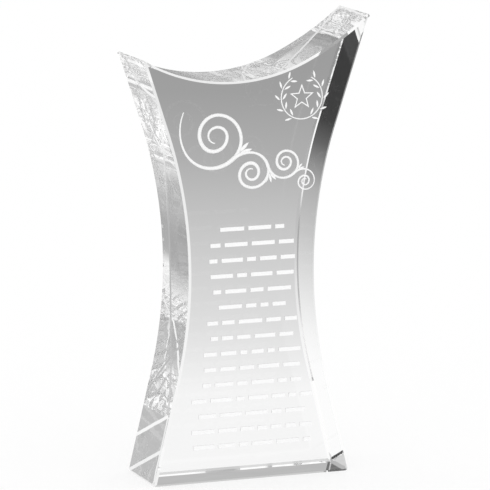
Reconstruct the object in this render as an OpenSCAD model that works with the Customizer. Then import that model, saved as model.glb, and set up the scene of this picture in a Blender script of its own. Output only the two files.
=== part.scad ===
// Crystal award: one clear optical-crystal slab with a waisted outline and a swept top,
// carved on its front face. The carving's white fill is a separate piece in each recess.
// The slab stands on its flat foot: X runs across it, Y from front to back, Z upwards.
// The origin is the middle of the foot.

/* [Outline] */
// Width across the foot
foot_width = 114.5; // [95:0.5:140]
// Width at the narrowest place
waist_width = 73.2; // [60:0.2:88]
// Height of the narrowest place above the foot
waist_height = 116; // [96:1:140]
// Radius of the hollow at the waist, as a share of the largest that the widths leave room for
waist_hollow = 0.933; // [0.7:0.001:1]
// Width across the sides level with the lowest point of the top
shoulder_width = 115.4; // [96:0.2:139]
// Height of the lowest point of the top
dip_height = 221.5; // [184:0.5:270]
// How far left of the middle the top is lowest
dip_offset = 11.4; // [0:0.2:20]
// Radius of the hollow at the lowest point of the top
dip_radius = 99.4; // [82:0.2:125]
// Radius of the longer sweep that rises to the right tip
sweep_radius = 166; // [150:2:300]
// How far right of the middle the hollow runs over into the sweep
sweep_start = 33; // [20:0.2:42]

/* [Thickness and edges] */
// Thickness of the slab from front face to back face
thickness = 44; // [30:0.5:60]
// Width of the small bevel ground along every edge
edge_bevel = 1.2; // [0.6:0.1:2]
// Width of the narrow flat ground along the ridge of each tip
tip_flat = 0.5; // [0.4:0.1:3]

/* [Carving] */
// Depth of the sand carving in the front face
carve_depth = 0.6; // [0.3:0.1:1.5]
// How far the white fill stands proud of the face
fill_proud = 0.05; // [0.02:0.01:0.2]
// Width of a stroke where it is thinnest
hairline = 0.6; // [0.4:0.05:0.9]
// Width of a stroke where it is fullest
full_stroke = 2.2; // [1.2:0.1:2.8]

/* [Scrollwork] */
// Clear face left on each side of the scrollwork
scroll_margin = 6; // [4:0.5:10]
// Clear face left between the scrollwork and the emblem above it
scroll_clear = 5; // [3:0.5:8]
// Each turn of a scroll is this share of the one before it
scroll_closing = 0.74; // [0.68:0.01:0.78]
// Length of a leaf where the stem forks
scroll_leaf = 8; // [6:0.5:10]

/* [Emblem] */
// Clear face left between the laurel leaves and the side of the slab
emblem_side = 9; // [6:0.5:12]
// Clear face left between the laurel leaves and the top of the slab
emblem_top = 2; // [1.5:0.1:4]
// Radius of the laurel stem round the star
laurel_r = 12; // [10:0.1:14.4]
// Length of a laurel leaf
leaf_length = 4.2; // [3.4:0.1:5.1]
// Clear face left between the star's points and the laurel leaves
star_clear = 1.4; // [1:0.1:3]

/* [Citation] */
// Number of rows of carved dashes
citation_rows = 15; // [8:1:18]
// How far the first row is below the lowest point of the top
first_row_drop = 82; // [74:0.5:98]
// Height of the last row above the foot
last_row_height = 19; // [12:0.5:26]
// Height of a dash
dash_height = 2.2; // [1.6:0.1:3.2]
// Gap between two dashes of a row
dash_gap = 2.4; // [1.6:0.1:3.2]
// Clear face left between a row and the side of the slab
row_margin = 11; // [8:0.5:14]
// Shortest dash
dash_min = 4; // [3:0.5:6]
// Longest dash
dash_max = 14; // [10:0.5:17]

/* [Hidden] */
$fn = 96;
over = 1;
reach = 60;
crease = 0.5;
half_t = thickness / 2;
row_names = [for (i = [1:citation_rows]) str("citation_row_", i < 10 ? "0" : "", i)];
scroll_names = ["large_scroll", "middle_scroll", "rising_scroll", "last_scroll"];

// The outline, in the plane of the front face: right-hand side from foot to tip. Where one
// ground surface runs over into the next they meet at a slight angle, the crease.
function largest_hollow(width, rise) =
    let (flare = (width - waist_width) / 2) (rise * rise + flare * flare) / (2 * flare);
waist_radius = waist_hollow * min(largest_hollow(foot_width, waist_height),
                                  largest_hollow(shoulder_width, dip_height - waist_height));
waist_c = [waist_width / 2 + waist_radius, waist_height];
function lean(p) =
    let (to_c = waist_c - p)
    atan2(to_c.x, abs(to_c.y)) - asin(waist_radius * cos(crease) / norm(to_c));
foot_lean = -lean([foot_width / 2, 0]);
shoulder_lean = -lean([shoulder_width / 2, dip_height]);
shoulder_out = [cos(shoulder_lean), -sin(shoulder_lean)];
foot_turn = foot_lean + crease;
shoulder_turn = shoulder_lean + crease;
foot_run = waist_c + waist_radius * [-cos(foot_turn), -sin(foot_turn)];
shoulder_run = waist_c + waist_radius * [-cos(shoulder_turn), sin(shoulder_turn)];
shoulder_dir = [sin(shoulder_lean), cos(shoulder_lean)];

// The top: the hollow, and the sweep that it runs over into
dip_c = [-dip_offset, dip_height + dip_radius];
sweep_turn = asin((sweep_start + dip_offset) / dip_radius);
centre_gap = sqrt(pow(sweep_radius, 2) + pow(dip_radius, 2)
                  - 2 * sweep_radius * dip_radius * cos(crease));
sweep_aside = sweep_turn - asin(sweep_radius * sin(crease) / centre_gap);
sweep_c = dip_c - centre_gap * [sin(sweep_aside), -cos(sweep_aside)];

// Where a line from p along d first comes within r of c
function meet(p, d, c, r) =
    let (b = d * (p - c), k = (p - c) * (p - c) - r * r)
    p + (-b - sqrt(b * b - k)) * d;
function flip(p) = [-p.x, p.y];
// The direction of a circle round c where it passes p, turning clockwise
function tangent(p, c) = [p.y - c.y, c.x - p.x] / norm(p - c);
right_tip = meet(shoulder_run, shoulder_dir, sweep_c, sweep_radius);
left_tip = meet(flip(shoulder_run), flip(shoulder_dir), dip_c, dip_radius);

// Half the width of the slab at height z
function half_width(z) =
    z < foot_run.y ? foot_run.x + (foot_run.y - z) * tan(foot_lean) :
    z > shoulder_run.y ? shoulder_run.x + (z - shoulder_run.y) * tan(shoulder_lean) :
    waist_c.x - sqrt(pow(waist_radius, 2) - pow(z - waist_height, 2));

// Grinds away what lies left of the line from a to b, with a bevel of that width along both
// faces. The facets across a corner have none.
module straight_cut(a, b, bevel = edge_bevel) {
    depth = bevel + over;
    translate([a.x, 0, a.y])
        rotate([0, -atan2(b.y - a.y, b.x - a.x), 0])
            rotate([90, 0, 90])
                linear_extrude(norm(b - a))
                    polygon(bevel == 0
                        ? [[-half_t - over, reach], [-half_t - over, 0],
                           [half_t + over, 0], [half_t + over, reach]]
                        : [[-half_t - over, reach], [-half_t - over, -depth],
                           [bevel - half_t, 0], [half_t - bevel, 0],
                           [half_t + over, -depth], [half_t + over, reach]]);
}

// Grinds away a sector round c, with a bevel along both faces. Sectors and straight cuts go on
// past the crease where they meet, through what the other one has taken away.
module round_cut(c, r, from, to) {
    translate([c.x, 0, c.y])
        rotate([90, 0, 0])
            rotate([0, 0, from])
                rotate_extrude(angle = to - from)
                    polygon([[0, -half_t - over], [r + edge_bevel + over, -half_t - over],
                             [r, edge_bevel - half_t], [r, half_t - edge_bevel],
                             [r + edge_bevel + over, half_t + over], [0, half_t + over]]);
}

// Grinds the flat along the ridge of a tip. along and down are the directions in which the
// top and the side leave the tip.
module tip_cut(tip, along, down) {
    middle = (along + down) / norm(along + down);
    apart = norm(along - down) / 2;
    near = tip + tip_flat / 2 * sqrt(1 - apart * apart) / apart * middle;
    across = tip_flat * [-middle.y, middle.x];
    straight_cut(near - 2 * across, near + 2 * across, 0);
}

// The hollow side and its two straight flares, and the facet at the corner of the foot
module side_cut() {
    foot_end = [foot_width / 2, 0];
    down = (foot_end - foot_run) / norm(foot_end - foot_run);
    corner_a = foot_end - edge_bevel * down;
    corner_b = foot_end - [edge_bevel, 0];
    straight_cut(right_tip + 10 * shoulder_dir, shoulder_run - shoulder_dir);
    round_cut(waist_c, waist_radius, 180 - shoulder_turn - crease, 180 + foot_turn + crease);
    straight_cut(foot_run - down, foot_end + 10 * down);
    straight_cut(2 * corner_a - corner_b, 2 * corner_b - corner_a, 0);
}

module slab() {
    difference() {
        translate([-right_tip.x - 2, -half_t, -over])
            cube([2 * right_tip.x + 4, thickness, right_tip.y + 2 + over]);
        straight_cut([reach + 30, 0], [-reach - 30, 0]);
        side_cut();
        mirror([1, 0, 0]) side_cut();
        round_cut(dip_c, dip_radius, 200, 270 + sweep_turn + 2 * crease);
        round_cut(sweep_c, sweep_radius, 270 + sweep_turn - 2 * crease, 345);
        tip_cut(right_tip, tangent(right_tip, sweep_c), -shoulder_dir);
        tip_cut(left_tip, -tangent(left_tip, dip_c), -flip(shoulder_dir));
    }
}

// Stands a flat shape in the front face: sunk to the carving's depth, and out past the face
module in_face(out) {
    translate([0, carve_depth - half_t, 0])
        rotate([90, 0, 0])
            linear_extrude(carve_depth + out)
                children();
}

// A pen stroke is a row of bows, [radius, turn, width at its end], drawn one after another from
// p along heading. A positive turn bends to the left. The width changes evenly along each bow.
turn_step = 9;
function bow_side(bow) = sign(bow[1]);
function bow_c(p, heading, bow) = p + bow_side(bow) * bow[0] * [-sin(heading), cos(heading)];
function bow_start(heading, bow) = heading - bow_side(bow) * 90;
function bow_end(p, heading, bow) =
    let (a = bow_start(heading, bow) + bow[1])
    bow_c(p, heading, bow) + bow[0] * [cos(a), sin(a)];
function after(p, heading, bows, n) =
    n == 0 ? [p, heading] :
    let (was = after(p, heading, bows, n - 1))
    [bow_end(was[0], was[1], bows[n - 1]), was[1] + bows[n - 1][1]];

// The points along the left edge of a bow (side 1) or its right edge (side -1)
function bow_edge(p, heading, width, bow, side) =
    let (steps = ceil(abs(bow[1]) / turn_step), c = bow_c(p, heading, bow))
    [for (k = [0:steps - 1])
        let (a = bow_start(heading, bow) + bow[1] * k / steps,
             here = width + (bow[2] - width) * k / steps)
        c + (bow[0] - side * bow_side(bow) * here / 2) * [cos(a), sin(a)]];
function stroke_edge(p, heading, width, bows, side, i = 0) =
    i == len(bows) ? [p + side * width / 2 * [-sin(heading), cos(heading)]] :
    concat(bow_edge(p, heading, width, bows[i], side),
           stroke_edge(bow_end(p, heading, bows[i]), heading + bows[i][1], bows[i][2],
                       bows, side, i + 1));
module stroke(p, heading, width, bows) {
    left = stroke_edge(p, heading, width, bows, 1);
    right = stroke_edge(p, heading, width, bows, -1);
    polygon(concat(left, [for (i = [len(right) - 1:-1:0]) right[i]]));
}

// A pointed leaf from the origin along X
module leaf(length, width) {
    r = (length * length + width * width) / (4 * width);
    intersection() {
        translate([length / 2, r - width / 2]) circle(r);
        translate([length / 2, width / 2 - r]) circle(r);
    }
}

// The emblem nests in the corner between the side and the top. Its laurel is one stem that is
// open above the star, with leaves in pairs that lean out and in by leaf_lean.
leaf_lean = 40;
leaf_reach = leaf_length * sin(leaf_lean) + hairline;
emblem_r = laurel_r + leaf_reach;
side_in = emblem_side + emblem_r;
emblem_c = meet(shoulder_run - side_in * shoulder_out, shoulder_dir,
                sweep_c, sweep_radius + emblem_top + emblem_r);
star_r = laurel_r - leaf_reach - star_clear;
star_waist = 0.42;
star_line = 2.6;
module star(r) {
    polygon([for (i = [0:9])
        (i % 2 == 0 ? r : r * star_waist) * [cos(90 + 36 * i), sin(90 + 36 * i)]]);
}
module star_outline() {
    translate(emblem_c)
        difference() {
            star(star_r);
            star(star_r - star_line * hairline);
        }
}
laurel_open = 54;
leaf_pairs = 5;
first_leaf = -64;
leaf_pitch = 29;
module laurel() {
    start = 90 + laurel_open / 2;
    translate(emblem_c) {
        stroke(laurel_r * [cos(start), sin(start)], start + 90, hairline,
               [[laurel_r, 360 - laurel_open, hairline]]);
        for (half = [0, 1], i = [0:leaf_pairs - 1], side = [-1, 1])
            mirror([half, 0])
                rotate(first_leaf + i * leaf_pitch)
                    translate([laurel_r + side * hairline, 0])
                        rotate(90 - side * leaf_lean) translate([hairline / 2, 0])
                            leaf(leaf_length, leaf_length / 3);
    }
}

// The stem runs left to right in four waves that get smaller, and a scroll closes inside each.
// The waves are drawn for a width of drawn_width and sized to the face they stand on. The third
// scroll comes third_drop below the stem's start in that drawing, and lies under the emblem.
drawn_width = 88;
third_drop = 17;
scroll_drop = 38;
scroll_middle = dip_height - scroll_drop;
scroll_size = 2 * (half_width(scroll_middle) - scroll_margin) / drawn_width;
stem_start = [scroll_margin - half_width(scroll_middle),
              emblem_c.y - emblem_r - scroll_clear + third_drop * scroll_size];
stem_heading = 246;
waves = [[28, 50, 1.2], [20, 104, 2.4], [16, -54, 1.2], [12, -60, 1.9],
         [11, 56, 1], [10, 60, 1.6], [8.6, -60, 0.8], [7, -76, hairline]];
stem = [for (b = waves) [b[0] * scroll_size, b[1], b[2]]];
scroll_r = [15.6, 10, 8, 5.4];
turns = 5;
slip = 0.8;
fork = [for (i = [0:3]) after(stem_start, stem_heading, stem, 2 * i + 2)];
function scroll_side(i) = i % 2 == 0 ? 1 : -1;
function scroll_bows(r, side) =
    [for (i = [0:turns - 1])
        [r * pow(scroll_closing, i), side * 135,
         i == turns - 1 ? hairline : full_stroke * pow(0.8, abs(i - 1)) * min(1, r / 10)]];
module stem_stroke() { stroke(stem_start, stem_heading, hairline, stem); }
module scroll_stroke(i) {
    stroke(fork[i][0], fork[i][1], slip * stem[2 * i + 1][2],
           scroll_bows(scroll_r[i] * scroll_size, scroll_side(i)));
}
module scroll(i) {
    difference() {
        scroll_stroke(i);
        stem_stroke();
    }
}

// A spray of leaves in each fork, between the stem and the scroll that leaves it
leaf_spread = [-30, 0, 30];
spray_out = 0.65;
leaf_apart = 0.14;
module leaf_spray(i) {
    heading = fork[i][1] + scroll_side(i) * 4;
    size = scroll_leaf * scroll_size * pow(scroll_closing, i);
    for (a = leaf_spread)
        translate(fork[i][0] + spray_out * size * [cos(heading), sin(heading)])
            rotate(heading + a) translate([leaf_apart * size, 0]) leaf(size, size / 4);
}
module leaves() {
    difference() {
        for (i = [0:2]) leaf_spray(i);
        stem_stroke();
        for (i = [0:2]) scroll_stroke(i);
    }
}

// A row of dashes, as many as fit between the sides at that height, centred on the slab
function fitting(lengths, room, i = 0) =
    i < len(lengths) && lengths[i] <= room
        ? concat([lengths[i]], fitting(lengths, room - lengths[i] - dash_gap, i + 1)) : [];
function total(v, n) = n == 0 ? 0 : v[n - 1] + total(v, n - 1);
first_row_height = dip_height - first_row_drop;
row_pitch = (first_row_height - last_row_height) / (citation_rows - 1);
function row_height(row) = first_row_height - (row - 1) * row_pitch;
module dashes(row) {
    z = row_height(row);
    room = 2 * (half_width(z) - row_margin);
    run = fitting(rands(dash_min, dash_max, 12, row), room);
    length = total(run, len(run)) + (len(run) - 1) * dash_gap;
    for (i = [0:len(run) - 1])
        translate([total(run, i) + i * dash_gap - length / 2, z]) square([run[i], dash_height]);
}

module all_carving() {
    stem_stroke();
    for (i = [0:3]) scroll_stroke(i);
    for (i = [0:2]) leaf_spray(i);
    star_outline();
    laurel();
    for (row = [1:citation_rows]) dashes(row);
}

module crystal_block() {
    color([0.86, 0.88, 0.9, 0.6])
        difference() {
            slab();
            in_face(over) all_carving();
        }
}
module scroll_stem() { color("white") in_face(fill_proud) stem_stroke(); }
module scroll_fill(i) { color("white") in_face(fill_proud) scroll(i); }
module scroll_leaves() { color("white") in_face(fill_proud) leaves(); }
module emblem_star() { color("white") in_face(fill_proud) star_outline(); }
module emblem_laurel() { color("white") in_face(fill_proud) laurel(); }
module citation_row(row) { color("white") in_face(fill_proud) dashes(row); }

crystal_block();
scroll_stem();
for (i = [0:3]) scroll_fill(i);
scroll_leaves();
emblem_star();
emblem_laurel();
for (row = [1:citation_rows])
    citation_row(row);
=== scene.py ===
import math
from math import cos, sin, radians

import bmesh
import bpy
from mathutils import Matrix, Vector


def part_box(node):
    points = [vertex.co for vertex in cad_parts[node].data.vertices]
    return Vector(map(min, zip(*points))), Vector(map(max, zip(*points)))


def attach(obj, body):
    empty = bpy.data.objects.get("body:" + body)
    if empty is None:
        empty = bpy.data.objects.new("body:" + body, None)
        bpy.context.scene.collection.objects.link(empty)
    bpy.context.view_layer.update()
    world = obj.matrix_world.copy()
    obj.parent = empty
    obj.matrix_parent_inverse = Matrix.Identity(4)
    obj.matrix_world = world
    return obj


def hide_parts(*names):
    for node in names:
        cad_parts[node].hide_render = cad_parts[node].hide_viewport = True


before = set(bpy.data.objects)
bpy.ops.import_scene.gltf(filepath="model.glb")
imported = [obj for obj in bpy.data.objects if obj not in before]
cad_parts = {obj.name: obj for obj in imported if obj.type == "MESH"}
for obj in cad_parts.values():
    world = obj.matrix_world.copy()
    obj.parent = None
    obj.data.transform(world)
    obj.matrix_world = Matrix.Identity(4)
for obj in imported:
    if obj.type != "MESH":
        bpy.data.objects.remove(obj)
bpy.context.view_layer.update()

# The camera stands to the left of the award and a little above it, far enough away that the
# tall slab hardly narrows. A long lens, shifted a little, looks at the middle of the slab.
# Angles are in degrees, here and in every section below.
MM = 0.001
camera_yaw = 20.6
camera_pitch = 10.18
camera_distance = 2313.7 * MM
lens_length = 308.571
lens_aside = 0.01408
lens_up = 0.00143
aim = Vector((0, 0, 127 * MM))

back = Vector((-sin(radians(camera_yaw)) * cos(radians(camera_pitch)),
               -cos(radians(camera_yaw)) * cos(radians(camera_pitch)),
               sin(radians(camera_pitch))))
camera_data = bpy.data.cameras.new("studio_camera")
camera = bpy.data.objects.new("studio_camera", camera_data)
bpy.context.scene.collection.objects.link(camera)
camera.location = aim + back * camera_distance
camera.rotation_euler = (-back).to_track_quat("-Z", "Y").to_euler()
camera_data.sensor_width = 36
camera_data.lens = lens_length
camera_data.shift_x = lens_aside
camera_data.shift_y = lens_up
camera_data.clip_end = 20
bpy.context.scene.camera = camera
bpy.context.scene.view_settings.view_transform = "Standard"

# light is turned back many times inside the block before it leaves
light_turns = 40
bpy.context.scene.cycles.max_bounces = light_turns
bpy.context.scene.cycles.transmission_bounces = light_turns
bpy.context.scene.cycles.glossy_bounces = light_turns

# The crystal block: a solid slab of optical crystal, sawn to its outline and then ground and
# polished. Both sides are hollowed on a large wheel, the top on a smaller one that runs over
# into a longer sweep, and a small bevel is taken off along every edge.
foot_width = 114.5 * MM
waist_width = 73.2 * MM
waist_height = 116 * MM
waist_hollow = 0.933
shoulder_width = 115.4 * MM
dip_height = 221.5 * MM
dip_offset = 11.4 * MM
dip_radius = 99.4 * MM
sweep_radius = 166 * MM
sweep_start = 33 * MM
crease = 0.5
edge_bevel = 1.2 * MM
tip_flat = 0.5 * MM
arc_step = 0.4
softest_edge = 8
block_low, block_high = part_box("crystal_block")
half_thickness = (block_high.y - block_low.y) / 2


# A point in the plane of the slab is a complex number: across, and up in the imaginary part.
def unit(number):
    return number / abs(number)


def turned(degrees):
    return complex(cos(radians(degrees)), sin(radians(degrees)))


def arc(centre, radius, start, end):
    steps = math.ceil(abs(end - start) / arc_step)
    return [centre + radius * turned(start + (end - start) * i / steps)
            for i in range(steps + 1)]


def meet(point, heading, centre, radius):
    # where a line from point along heading first comes within radius of centre
    to_point = point - centre
    along = (heading.conjugate() * to_point).real
    return point + (-along - math.sqrt(along ** 2 - abs(to_point) ** 2 + radius ** 2)) * heading


def largest_hollow(width, rise):
    # the radius at which the hollow alone would reach out to width, with no straight flare
    flare = (width - waist_width) / 2
    return (rise ** 2 + flare ** 2) / (2 * flare)


waist_radius = waist_hollow * min(largest_hollow(foot_width, waist_height),
                                  largest_hollow(shoulder_width, dip_height - waist_height))
waist_centre = complex(waist_width / 2 + waist_radius, waist_height)


def lean(point):
    # how far the straight flare from the hollow out to point leans over
    to_centre = waist_centre - point
    return math.degrees(math.asin(waist_radius * cos(radians(crease)) / abs(to_centre))
                        - math.atan2(to_centre.real, abs(to_centre.imag)))


foot_end = complex(foot_width / 2, 0)
foot_lean = lean(foot_end)
shoulder_lean = lean(complex(shoulder_width / 2, dip_height))
waist_arc = arc(waist_centre, waist_radius,
                180 + foot_lean + crease, 180 - shoulder_lean - crease)
shoulder_heading = turned(90 - shoulder_lean)
dip_centre = complex(-dip_offset, dip_height + dip_radius)
sweep_turn = math.degrees(math.asin((sweep_start + dip_offset) / dip_radius))
centre_gap = math.sqrt(sweep_radius ** 2 + dip_radius ** 2
                       - 2 * sweep_radius * dip_radius * cos(radians(crease)))
sweep_aside = sweep_turn - math.degrees(
    math.asin(sweep_radius * sin(radians(crease)) / centre_gap))
sweep_centre = dip_centre + centre_gap * turned(90 + sweep_aside)
right_tip = meet(waist_arc[-1], shoulder_heading, sweep_centre, sweep_radius)
left_tip = meet(-waist_arc[-1].conjugate(), -shoulder_heading.conjugate(),
                dip_centre, dip_radius)


def bearing(centre, point):
    return math.degrees(math.atan2((point - centre).imag, (point - centre).real))


crossing = dip_centre + dip_radius * turned(sweep_turn - 90)
sweep_arc = arc(sweep_centre, sweep_radius, bearing(sweep_centre, right_tip),
                bearing(sweep_centre, crossing))
dip_arc = arc(dip_centre, dip_radius, sweep_turn - 90, bearing(dip_centre, left_tip))
left_side = [-p.conjugate() for p in reversed(waist_arc)]
outline = [foot_end] + waist_arc + sweep_arc + dip_arc[1:] + left_side + [-foot_end]


def inset_by(points, width):
    # moves each side of a counter-clockwise outline inwards by width
    moved = []
    for i, p in enumerate(points):
        before = unit(p - points[i - 1]) * 1j
        after = unit(points[(i + 1) % len(points)] - p) * 1j
        middle = before + after
        moved.append(p + width * middle / (1 + (before.conjugate() * after).real))
    return moved


def put_ring(mesh, points, y):
    return [mesh.verts.new((p.real, y, p.imag)) for p in points]


def join_rings(mesh, ring_a, ring_b):
    for i in range(len(ring_a)):
        j = (i + 1) % len(ring_a)
        mesh.faces.new((ring_a[i], ring_a[j], ring_b[j], ring_b[i]))


cut_tolerance = 1e-4 * MM


def grind_flat(mesh, point, outwards):
    # takes off what lies beyond point, and closes the cut with a flat facet
    everything = mesh.verts[:] + mesh.edges[:] + mesh.faces[:]
    normal = Vector((outwards.real, 0, outwards.imag))
    cut = bmesh.ops.bisect_plane(mesh, geom=everything, plane_co=(point.real, 0, point.imag),
                                 plane_no=normal, dist=cut_tolerance, clear_outer=True)
    edges = [e for e in cut["geom_cut"] if isinstance(e, bmesh.types.BMEdge)]
    bmesh.ops.contextual_create(mesh, geom=edges)


def mesh_object(name, mesh):
    data = bpy.data.meshes.new(name)
    mesh.to_mesh(data)
    mesh.free()
    made = bpy.data.objects.new(name, data)
    bpy.context.scene.collection.objects.link(made)
    return made


slab = bmesh.new()
face_outline = inset_by(outline, edge_bevel)
rings = [put_ring(slab, face_outline, -half_thickness),
         put_ring(slab, outline, edge_bevel - half_thickness),
         put_ring(slab, outline, half_thickness - edge_bevel),
         put_ring(slab, face_outline, half_thickness)]
for ring_a, ring_b in zip(rings, rings[1:]):
    join_rings(slab, ring_a, ring_b)
slab.faces.new(rings[0])
slab.faces.new(list(reversed(rings[-1])))

# the two ends of the foot get the same bevel, and the two tips a narrow flat
for side in (1, -1):
    corner = complex(side * foot_end.real, 0)
    up_side = unit(complex(side * waist_arc[0].real, waist_arc[0].imag) - corner)
    facet = unit(up_side - complex(-side, 0))
    grind_flat(slab, corner + edge_bevel * up_side, facet * -1j * side)
for tip, away in ((right_tip, [sweep_arc[1], waist_arc[-1]]),
                  (left_tip, [dip_arc[-2], left_side[0]])):
    along, down = (unit(p - tip) for p in away)
    inwards = unit(along + down)
    half_angle = math.asin(abs(along - down) / 2)
    grind_flat(slab, tip + tip_flat / 2 / math.tan(half_angle) * inwards, -inwards)
bmesh.ops.recalc_face_normals(slab, faces=slab.faces)
crystal = mesh_object("crystal_slab", slab)
crystal.data.shade_smooth()
crystal.data.set_sharp_from_angle(angle=radians(softest_edge))

glass = bpy.data.materials.new("optical_crystal")
glass.use_nodes = True
surface = glass.node_tree.nodes["Principled BSDF"]
surface.inputs["Base Color"].default_value = (1, 1, 1, 1)
surface.inputs["Roughness"].default_value = 0
surface.inputs["IOR"].default_value = 1.52
surface.inputs["Transmission Weight"].default_value = 1

# the two faces and the bevels are flat, and the wheel leaves the left side, the top and the foot
# a little wavy, and the right side hardly so
wave_height = 0.12 * MM
right_side_share = 0.08
wavy = crystal.data.attributes.new("wavy", "FLOAT", "FACE")
for polygon, share in zip(crystal.data.polygons, wavy.data):
    on_right_side = polygon.normal.x > 0.2 and polygon.center.x > 0
    if abs(polygon.normal.y) > 0.5:
        share.value = 0
    elif on_right_side:
        share.value = right_side_share
    else:
        share.value = 1
glass_nodes, glass_links = glass.node_tree.nodes, glass.node_tree.links
glass_place = glass_nodes.new("ShaderNodeTexCoord")
ripple = glass_nodes.new("ShaderNodeTexNoise")
ripple.inputs["Scale"].default_value = 45
ripple.inputs["Detail"].default_value = 1
ripple.inputs["Distortion"].default_value = 0.4
glass_links.new(glass_place.outputs["Object"], ripple.inputs["Vector"])
waviness = glass_nodes.new("ShaderNodeAttribute")
waviness.attribute_name = "wavy"
ripple_depth = glass_nodes.new("ShaderNodeMath")
ripple_depth.operation = "MULTIPLY"
ripple_depth.inputs[1].default_value = wave_height
glass_links.new(waviness.outputs["Fac"], ripple_depth.inputs[0])
polish = glass_nodes.new("ShaderNodeBump")
polish.inputs["Strength"].default_value = 1
glass_links.new(ripple_depth.outputs[0], polish.inputs["Distance"])
glass_links.new(ripple.outputs["Fac"], polish.inputs["Height"])
glass_links.new(polish.outputs["Normal"], surface.inputs["Normal"])

# painted glow: the inside of the crystal gives off a faint light of its own, which stands in for
# the room's light that runs to and fro inside the block many times before it leaves. It shows
# most where a ray runs far inside
painted_glow = glass_nodes.new("ShaderNodeVolumePrincipled")
painted_glow.inputs["Density"].default_value = 0
# painted light: this emission makes the glass glow, though the crystal is no lamp
painted_glow.inputs["Emission Strength"].default_value = 0.32
glass_links.new(painted_glow.outputs[0], glass_nodes["Material Output"].inputs["Volume"])
crystal.data.materials.append(glass)
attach(crystal, "root")
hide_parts("crystal_block")

# The white fill: frosting rubbed into the carved recesses, which are cut through a stencil with
# a jet of sand. It is chalky and a little uneven, and stands just proud of the polished face.
frosting = bpy.data.materials.new("white_frosting")
frosting.use_nodes = True
frost_nodes, frost_links = frosting.node_tree.nodes, frosting.node_tree.links
frost_surface = frost_nodes["Principled BSDF"]
frost_surface.inputs["Roughness"].default_value = 0.9
frost_surface.inputs["Specular IOR Level"].default_value = 0.2
frost_place = frost_nodes.new("ShaderNodeTexCoord")
grit = frost_nodes.new("ShaderNodeTexNoise")
grit.inputs["Scale"].default_value = 1800
grit.inputs["Detail"].default_value = 3
frost_links.new(frost_place.outputs["Object"], grit.inputs["Vector"])
chalk = frost_nodes.new("ShaderNodeValToRGB")
chalk.color_ramp.elements[0].position = 0.3
chalk.color_ramp.elements[0].color = (0.93, 0.93, 0.93, 1)
chalk.color_ramp.elements[1].position = 0.6
chalk.color_ramp.elements[1].color = (1, 1, 1, 1)
frost_links.new(grit.outputs["Fac"], chalk.inputs[0])
frost_links.new(chalk.outputs["Color"], frost_surface.inputs["Base Color"])
grain = frost_nodes.new("ShaderNodeBump")
grain.inputs["Strength"].default_value = 0.15
grain.inputs["Distance"].default_value = 0.02 * MM
frost_links.new(grit.outputs["Fac"], grain.inputs["Height"])
frost_links.new(grain.outputs["Normal"], frost_surface.inputs["Normal"])

# The scrollwork: one stem that runs across the face in four waves that get smaller, and a
# scroll closing inside each. The strokes swell and thin like those of a broad pen, and a spray
# of pointed leaves sits in each of the first three forks. All are carved to one depth.
carve_depth = 0.6 * MM
fill_proud = 0.05 * MM
hairline = 0.6 * MM
full_stroke = 2.2 * MM
scroll_margin = 6 * MM
scroll_clear = 5 * MM
scroll_closing = 0.74
scroll_leaf = 8 * MM
emblem_side = 9 * MM
emblem_top = 2 * MM
laurel_radius = 12 * MM
leaf_length = 4.2 * MM
leaf_lean = 40
leaf_breadth = 0.25
scroll_drop = 38 * MM

# the waves are drawn for a face of drawn_width and sized to the one they stand on: each bow has
# its radius, its turn to the left and the width that the stroke ends in
drawn_width = 88 * MM
third_drop = 17 * MM
stem_heading = 246
waves = [(28, 50, 1.2), (20, 104, 2.4), (16, -54, 1.2), (12, -60, 1.9),
         (11, 56, 1), (10, 60, 1.6), (8.6, -60, 0.8), (7, -76, hairline / MM)]
scroll_radii = (15.6, 10, 8, 5.4)
scroll_bows = 5
bow_turn = 135
bow_thinning = 0.8
full_scroll = 10 * MM
slip = 0.8
pen_step = 3
spray_out = 0.65
spray_lean = 4
leaf_apart = 0.14
leaf_spread = 30
layer_step = 0.01 * MM
weld_distance = 1e-3 * MM


def half_width(height):
    # from the middle of the slab out to its side
    if height < waist_arc[0].imag:
        return waist_arc[0].real + (waist_arc[0].imag - height) * math.tan(radians(foot_lean))
    if height > waist_arc[-1].imag:
        rise = height - waist_arc[-1].imag
        return waist_arc[-1].real + rise * math.tan(radians(shoulder_lean))
    return waist_centre.real - math.sqrt(waist_radius ** 2 - (height - waist_height) ** 2)


leaf_reach = leaf_length * sin(radians(leaf_lean)) + hairline
emblem_radius = laurel_radius + leaf_reach
side_in = emblem_side + emblem_radius
shoulder_out = shoulder_heading * -1j
emblem_centre = meet(waist_arc[-1] - side_in * shoulder_out, shoulder_heading,
                     sweep_centre, sweep_radius + emblem_top + emblem_radius)
scroll_middle = half_width(dip_height - scroll_drop)
scroll_size = 2 * (scroll_middle - scroll_margin) / drawn_width
stem_start = complex(scroll_margin - scroll_middle, emblem_centre.imag - emblem_radius
                     - scroll_clear + third_drop * scroll_size)


def pen_path(start, heading, width, bows):
    # the middle line of a stroke and its width at each point, bow after bow
    path = [(start, width)]
    ends = []
    for radius, turn, end_width in bows:
        side = 1 if turn > 0 else -1
        first = heading - side * 90
        middle = start - radius * turned(first)
        steps = math.ceil(abs(turn) / pen_step)
        for i in range(1, steps + 1):
            path.append((middle + radius * turned(first + turn * i / steps),
                         width + (end_width - width) * i / steps))
        start, heading, width = path[-1][0], heading + turn, end_width
        ends.append((start, heading, width))
    return path, ends


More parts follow.
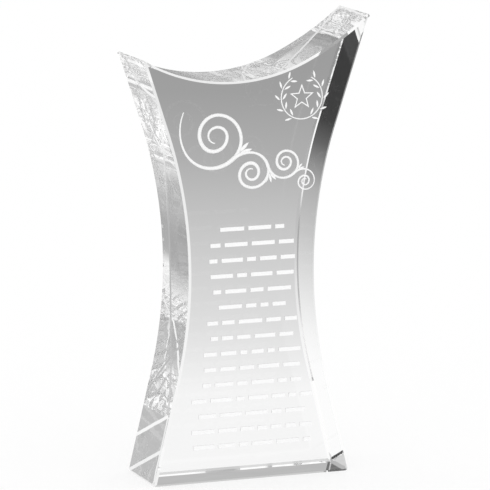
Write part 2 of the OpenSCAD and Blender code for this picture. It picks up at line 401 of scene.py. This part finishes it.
def carving_tree(name, add_flat_shape):
    # flat shapes are drawn across and upwards, given their depth and stood up in the face
    tree = bpy.data.node_groups.new(name, "GeometryNodeTree")
    interface = tree.interface
    interface.new_socket("Geometry", in_out="INPUT", socket_type="NodeSocketGeometry")
    interface.new_socket("Depth", in_out="INPUT", socket_type="NodeSocketFloat")
    interface.new_socket("Bottom of the recess", in_out="INPUT", socket_type="NodeSocketFloat")
    interface.new_socket("Leaf", in_out="INPUT", socket_type="NodeSocketObject")
    interface.new_socket("Material", in_out="INPUT", socket_type="NodeSocketMaterial")
    interface.new_socket("Geometry", in_out="OUTPUT", socket_type="NodeSocketGeometry")
    put = tree.nodes.new
    join = tree.links.new
    given = put("NodeGroupInput")
    flat = add_flat_shape(tree, given)
    raised = put("GeometryNodeExtrudeMesh")
    raised.inputs["Individual"].default_value = False
    depth = put("ShaderNodeCombineXYZ")
    join(given.outputs["Depth"], depth.inputs["Z"])
    join(flat, raised.inputs["Mesh"])
    join(depth.outputs[0], raised.inputs["Offset"])
    raised.inputs["Offset Scale"].default_value = 1
    whole = put("GeometryNodeJoinGeometry")
    join(raised.outputs["Mesh"], whole.inputs[0])
    join(flat, whole.inputs[0])
    closed = put("GeometryNodeMergeByDistance")
    closed.inputs["Distance"].default_value = weld_distance
    join(whole.outputs[0], closed.inputs["Geometry"])
    place = put("ShaderNodeCombineXYZ")
    join(given.outputs["Bottom of the recess"], place.inputs["Y"])
    stood = put("GeometryNodeTransform")
    stood.inputs["Rotation"].default_value = (radians(90), 0, 0)
    join(closed.outputs[0], stood.inputs["Geometry"])
    join(place.outputs[0], stood.inputs["Translation"])
    realized = put("GeometryNodeRealizeInstances")
    join(stood.outputs[0], realized.inputs[0])
    painted = put("GeometryNodeSetMaterial")
    join(realized.outputs[0], painted.inputs["Geometry"])
    join(given.outputs["Material"], painted.inputs["Material"])
    result = put("NodeGroupOutput")
    join(painted.outputs[0], result.inputs[0])
    return tree


def as_drawn(tree, given):
    # the drawing is the shape itself
    return given.outputs["Geometry"]


def as_pen_stroke(tree, given):
    # a flat nib drawn along the line, as wide at each point as its pen_width
    line = tree.nodes.new("GeometryNodeMeshToCurve")
    tree.links.new(given.outputs["Geometry"], line.inputs["Mesh"])
    upright = tree.nodes.new("GeometryNodeSetCurveNormal")
    upright.mode = "Z_UP"
    tree.links.new(line.outputs[0], upright.inputs["Curve"])
    width = tree.nodes.new("GeometryNodeInputNamedAttribute")
    width.inputs["Name"].default_value = "pen_width"
    nib = tree.nodes.new("GeometryNodeCurvePrimitiveLine")
    nib.inputs["Start"].default_value = (-0.5, 0, 0)
    nib.inputs["End"].default_value = (0.5, 0, 0)
    swept = tree.nodes.new("GeometryNodeCurveToMesh")
    tree.links.new(upright.outputs[0], swept.inputs["Curve"])
    tree.links.new(nib.outputs[0], swept.inputs["Profile Curve"])
    tree.links.new(width.outputs["Attribute"], swept.inputs["Scale"])
    return swept.outputs[0]


def as_leaves(tree, given):
    # the leaf set on every point, at that point's turn and size
    points = tree.nodes.new("GeometryNodeMeshToPoints")
    tree.links.new(given.outputs["Geometry"], points.inputs["Mesh"])
    turn = tree.nodes.new("GeometryNodeInputNamedAttribute")
    turn.inputs["Name"].default_value = "turn"
    size = tree.nodes.new("GeometryNodeInputNamedAttribute")
    size.inputs["Name"].default_value = "size"
    angle = tree.nodes.new("ShaderNodeCombineXYZ")
    tree.links.new(turn.outputs["Attribute"], angle.inputs["Z"])
    leaf = tree.nodes.new("GeometryNodeObjectInfo")
    tree.links.new(given.outputs["Leaf"], leaf.inputs["Object"])
    each = tree.nodes.new("GeometryNodeInstanceOnPoints")
    tree.links.new(points.outputs[0], each.inputs["Points"])
    tree.links.new(leaf.outputs["Geometry"], each.inputs["Instance"])
    tree.links.new(angle.outputs[0], each.inputs["Rotation"])
    tree.links.new(size.outputs["Attribute"], each.inputs["Scale"])
    leaves = tree.nodes.new("GeometryNodeRealizeInstances")
    tree.links.new(each.outputs[0], leaves.inputs[0])
    return leaves.outputs[0]


pen_tree = carving_tree("pen_stroke", as_pen_stroke)
leaf_tree = carving_tree("leaves_on_points", as_leaves)
plain_tree = carving_tree("flat_shape", as_drawn)


def carve(name, points, edges, faces, attributes, tree, layer=0, leaf=None):
    # runs a drawing through one of the trees and keeps the result as a plain mesh. Where two
    # drawings run into each other, the one on the lower layer stays inside the other
    drawing = bpy.data.meshes.new(name + "_drawing")
    drawing.from_pydata([(p.real, p.imag, 0) for p in points], edges, faces)
    for attribute, values in attributes.items():
        stored = drawing.attributes.new(attribute, "FLOAT", "POINT")
        stored.data.foreach_set("value", values)
    piece = bpy.data.objects.new(name, drawing)
    bpy.context.scene.collection.objects.link(piece)
    nodes = piece.modifiers.new("carving", "NODES")
    nodes.node_group = tree
    sockets = {item.name: item.identifier for item in tree.interface.items_tree
               if item.in_out == "INPUT"}
    below = layer * layer_step
    nodes[sockets["Depth"]] = carve_depth + fill_proud - 2 * below
    nodes[sockets["Bottom of the recess"]] = carve_depth - below - half_thickness
    nodes[sockets["Leaf"]] = leaf
    nodes[sockets["Material"]] = frosting
    evaluated = piece.evaluated_get(bpy.context.evaluated_depsgraph_get())
    carved = bpy.data.meshes.new_from_object(evaluated)
    piece.modifiers.remove(nodes)
    piece.data = carved
    bpy.data.meshes.remove(drawing)
    carved.name = name
    solid = bmesh.new()
    solid.from_mesh(carved)
    bmesh.ops.recalc_face_normals(solid, faces=solid.faces)
    solid.to_mesh(carved)
    solid.free()
    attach(piece, "root")
    return piece


def carve_stroke(name, path, layer=0):
    points = [p for p, width in path]
    chain = [(i, i + 1) for i in range(len(points) - 1)]
    widths = [width for p, width in path]
    return carve(name, points, chain, [], {"pen_width": widths}, pen_tree, layer)


stem_bows = [(radius * MM * scroll_size, turn, width * MM) for radius, turn, width in waves]
stem_path, stem_ends = pen_path(stem_start, stem_heading, hairline, stem_bows)
stem = carve_stroke("scroll_stem_fill", stem_path)
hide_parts("scroll_stem")
forks = stem_ends[1::2]

# the scrolls close to the left and to the right in turn
scroll_sides = (1, -1, 1, -1)
for i, name in enumerate(("large_scroll", "middle_scroll", "rising_scroll", "last_scroll")):
    start, heading, width = forks[i]
    radius = scroll_radii[i] * MM * scroll_size
    bows = []
    for bow in range(scroll_bows):
        swell = full_stroke * bow_thinning ** abs(bow - 1) * min(1, radius / full_scroll)
        bows.append((radius * scroll_closing ** bow, scroll_sides[i] * bow_turn,
                     hairline if bow == scroll_bows - 1 else swell))
    path, _ = pen_path(start, heading, slip * width, bows)
    scroll = carve_stroke(name + "_fill", path, layer=1)
    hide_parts(name)

# one pointed leaf of unit length along X, which every leaf on the face is a copy of. Its
# breadth is a share of its length
leaf_steps = 12
leaf_rim = []
for way, across in ((range(leaf_steps), 1), (range(leaf_steps, 0, -1), -1)):
    for i in way:
        along = i / leaf_steps
        leaf_rim.append((along, across * 2 * leaf_breadth * along * (1 - along), 0))
leaf_mesh = bpy.data.meshes.new("leaf_outline")
leaf_mesh.from_pydata(leaf_rim, [], [tuple(range(len(leaf_rim)))])
leaf = bpy.data.objects.new("leaf_outline", leaf_mesh)

spray = []
for i, (start, heading, width) in enumerate(forks[:3]):
    heading += scroll_sides[i] * spray_lean
    size = scroll_leaf * scroll_size * scroll_closing ** i
    middle = start + spray_out * size * turned(heading)
    for spread in (-leaf_spread, 0, leaf_spread):
        turn = heading + spread
        spray.append((middle + leaf_apart * size * turned(turn), turn, size))
scroll_leaves = carve("scroll_leaves_fill", [base for base, turn, size in spray], [], [],
                      {"turn": [radians(turn) for base, turn, size in spray],
                       "size": [size for base, turn, size in spray]},
                      leaf_tree, layer=2, leaf=leaf)
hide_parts("scroll_leaves")

# The emblem: a five-pointed star in outline inside an open laurel wreath, in the corner under
# the high tip, carved and filled like the scrollwork. The wreath is one thin stem with leaves
# in pairs that lean out and in.
laurel_open = 54
leaf_pairs = 5
first_leaf = -64
leaf_pitch = 29
star_clear = 1.4 * MM
star_corners = 10
star_waist = 0.42
star_line = 2.6 * hairline
opening = 90 + laurel_open / 2
wreath_path, _ = pen_path(emblem_centre + laurel_radius * turned(opening), opening + 90,
                          hairline, [(laurel_radius, 360 - laurel_open, hairline)])
wreath = carve_stroke("laurel_stem_fill", wreath_path)
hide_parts("emblem_laurel")
wreath_leaves = []
for pair in range(leaf_pairs):
    round_wreath = first_leaf + pair * leaf_pitch
    for side in (-1, 1):
        lean_of_leaf = 90 - side * leaf_lean
        base = laurel_radius + side * hairline + hairline / 2 * turned(lean_of_leaf)
        base *= turned(round_wreath)
        turn = round_wreath + lean_of_leaf
        wreath_leaves.append((emblem_centre + base, turn))
        wreath_leaves.append((emblem_centre - base.conjugate(), 180 - turn))
laurel_leaves = carve("laurel_leaves_fill", [base for base, turn in wreath_leaves], [], [],
                      {"turn": [radians(turn) for base, turn in wreath_leaves],
                       "size": [leaf_length] * len(wreath_leaves)},
                      leaf_tree, layer=1, leaf=leaf)
star_radius = laurel_radius - leaf_reach - star_clear
star_points = []
for radius in (star_radius, star_radius - star_line):
    for i in range(star_corners):
        reach = radius if i % 2 == 0 else radius * star_waist
        star_points.append(emblem_centre + reach * turned(90 + 360 / star_corners * i))
star_faces = []
for i in range(star_corners):
    following = (i + 1) % star_corners
    star_faces.append((i, following, following + star_corners, i + star_corners))
star = carve("star_fill", star_points, [], star_faces, {}, plain_tree)
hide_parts("emblem_star")

# The citation: fifteen rows of carved dashes down the face, where a dedication would stand, with
# the same white fill. Each is centred between the hollow sides and as long as fits there.
for name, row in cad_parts.items():
    if name.startswith("citation_row"):
        row.data.materials.clear()
        row.data.materials.append(frosting)

# The studio: a white room lit evenly from all round. Large grey cards, graded from top to
# bottom, stand behind the award and beside the camera. Only the crystal picks them up, which is
# what draws its edges against the white.
card_overlap = 0.25
aside_from = 0.45
aside_to = 0.6
side_line = 0.2
studio = bpy.data.worlds.new("studio")
bpy.context.scene.world = studio
studio.use_nodes = True
room_nodes, room_links = studio.node_tree.nodes, studio.node_tree.links
room_light = room_nodes["Background"]
direction = room_nodes.new("ShaderNodeTexCoord").outputs["Generated"]
apart = room_nodes.new("ShaderNodeSeparateXYZ")
room_links.new(direction, apart.inputs[0])


def graded_card(name, stops):
    # stops are (height above the horizon as an angle, brightness)
    height = room_nodes.new("ShaderNodeMapRange")
    height.inputs["From Min"].default_value = -1
    room_links.new(apart.outputs["Z"], height.inputs["Value"])
    card = room_nodes.new("ShaderNodeValToRGB")
    card.name = name
    ramp = card.color_ramp
    while len(ramp.elements) < len(stops):
        ramp.elements.new(0.5)
    for stop, (elevation, brightness) in zip(ramp.elements, stops):
        stop.position = sin(radians(elevation)) / 2 + 0.5
        stop.color = (brightness, brightness, brightness, 1)
    room_links.new(height.outputs[0], card.inputs[0])
    return card.outputs["Color"]


# the colour sockets of a mix share their names with its other sockets, so they go by number
colour_a = 6
colour_b = 7
mixed_colour = 2


def side_by_side(across, start, end, card_a, card_b):
    # card_a runs over into card_b where across goes from start to end
    share = room_nodes.new("ShaderNodeMapRange")
    share.inputs["From Min"].default_value = start
    share.inputs["From Max"].default_value = end
    room_links.new(across, share.inputs["Value"])
    mix = room_nodes.new("ShaderNodeMix")
    mix.data_type = "RGBA"
    room_links.new(share.outputs[0], mix.inputs[0])
    room_links.new(card_a, mix.inputs[colour_a])
    room_links.new(card_b, mix.inputs[colour_b])
    return mix.outputs[mixed_colour]


behind_left = graded_card("card_behind_left", [
    (-90, 0.95), (-20, 1), (-17, 0.93), (-11, 0.72), (-7, 0.57), (-2, 0.43), (3, 0.1),
    (6, 0.01), (9, 0.01), (14, 0.3), (25, 0.8), (90, 1)])
behind_right = graded_card("card_behind_right", [
    (-90, 0.8), (-38, 0.8), (-20, 1), (-12.2, 0.95), (-11.3, 0.765), (-10.5, 0.655),
    (-9.6, 0.53), (-9, 0.43), (-8, 0.335), (0, 0.25), (12, 0.47), (20, 0.6), (29, 0.78),
    (50, 1), (90, 1)])
beside_camera = graded_card("card_beside_camera", [
    (-90, 0.9), (-20, 0.85), (-12, 0.27), (-4, 0.27), (10, 0.3), (25, 0.8), (90, 1)])
window = graded_card("window_on_the_right", [
    (-90, 0.95), (-20, 0.97), (0, 0.85), (15, 0.85), (30, 1), (90, 1)])
far_aside = graded_card("side_walls", [
    (-90, 0.9), (-42, 0.85), (-32, 0.6), (-25, 0.46), (-12, 0.4), (0, 0.34), (6, 0.5),
    (12, 0.85), (30, 1), (90, 1)])
sideways = apart.outputs["X"]
behind = side_by_side(sideways, -card_overlap, card_overlap, behind_left, behind_right)
behind = side_by_side(sideways, aside_from, aside_to, behind, window)
behind = side_by_side(sideways, -aside_to, -aside_from, far_aside, behind)
aside = room_nodes.new("ShaderNodeMath")
aside.operation = "ABSOLUTE"
room_links.new(sideways, aside.inputs[0])
in_front = side_by_side(aside.outputs[0], aside_from, aside_to, beside_camera, far_aside)
cards = side_by_side(apart.outputs["Y"], -side_line, side_line, in_front, behind)

# only a ray that the crystal has bent or thrown back sees the cards
ray = room_nodes.new("ShaderNodeLightPath")
seen_in_crystal = room_nodes.new("ShaderNodeMath")
seen_in_crystal.operation = "MAXIMUM"
room_links.new(ray.outputs["Is Glossy Ray"], seen_in_crystal.inputs[0])
room_links.new(ray.outputs["Is Transmission Ray"], seen_in_crystal.inputs[1])
room = room_nodes.new("ShaderNodeMix")
room.data_type = "RGBA"
room.inputs[colour_a].default_value = (1, 1, 1, 1)
room_links.new(seen_in_crystal.outputs[0], room.inputs[0])
room_links.new(cards, room.inputs[colour_b])
room_links.new(room.outputs[mixed_colour], room_light.inputs["Color"])

# The floor: a wide light table, a sheet of white acrylic that is lit from below as well. It is
# left out of what the crystal refracts, where the cards reach below the horizon.
floor_side = 6
board = bmesh.new()
bmesh.ops.create_grid(board, x_segments=1, y_segments=1, size=floor_side / 2)
floor = mesh_object("light_table", board)
acrylic = bpy.data.materials.new("white_acrylic")
acrylic.use_nodes = True
acrylic_surface = acrylic.node_tree.nodes["Principled BSDF"]
acrylic_surface.inputs["Base Color"].default_value = (0.3, 0.3, 0.3, 1)
acrylic_surface.inputs["Emission Color"].default_value = (1, 1, 1, 1)
acrylic_surface.inputs["Emission Strength"].default_value = 0.7
acrylic_surface.inputs["Roughness"].default_value = 1
acrylic_surface.inputs["Specular IOR Level"].default_value = 0
floor.data.materials.append(acrylic)
floor.visible_transmission = False
floor.visible_glossy = False
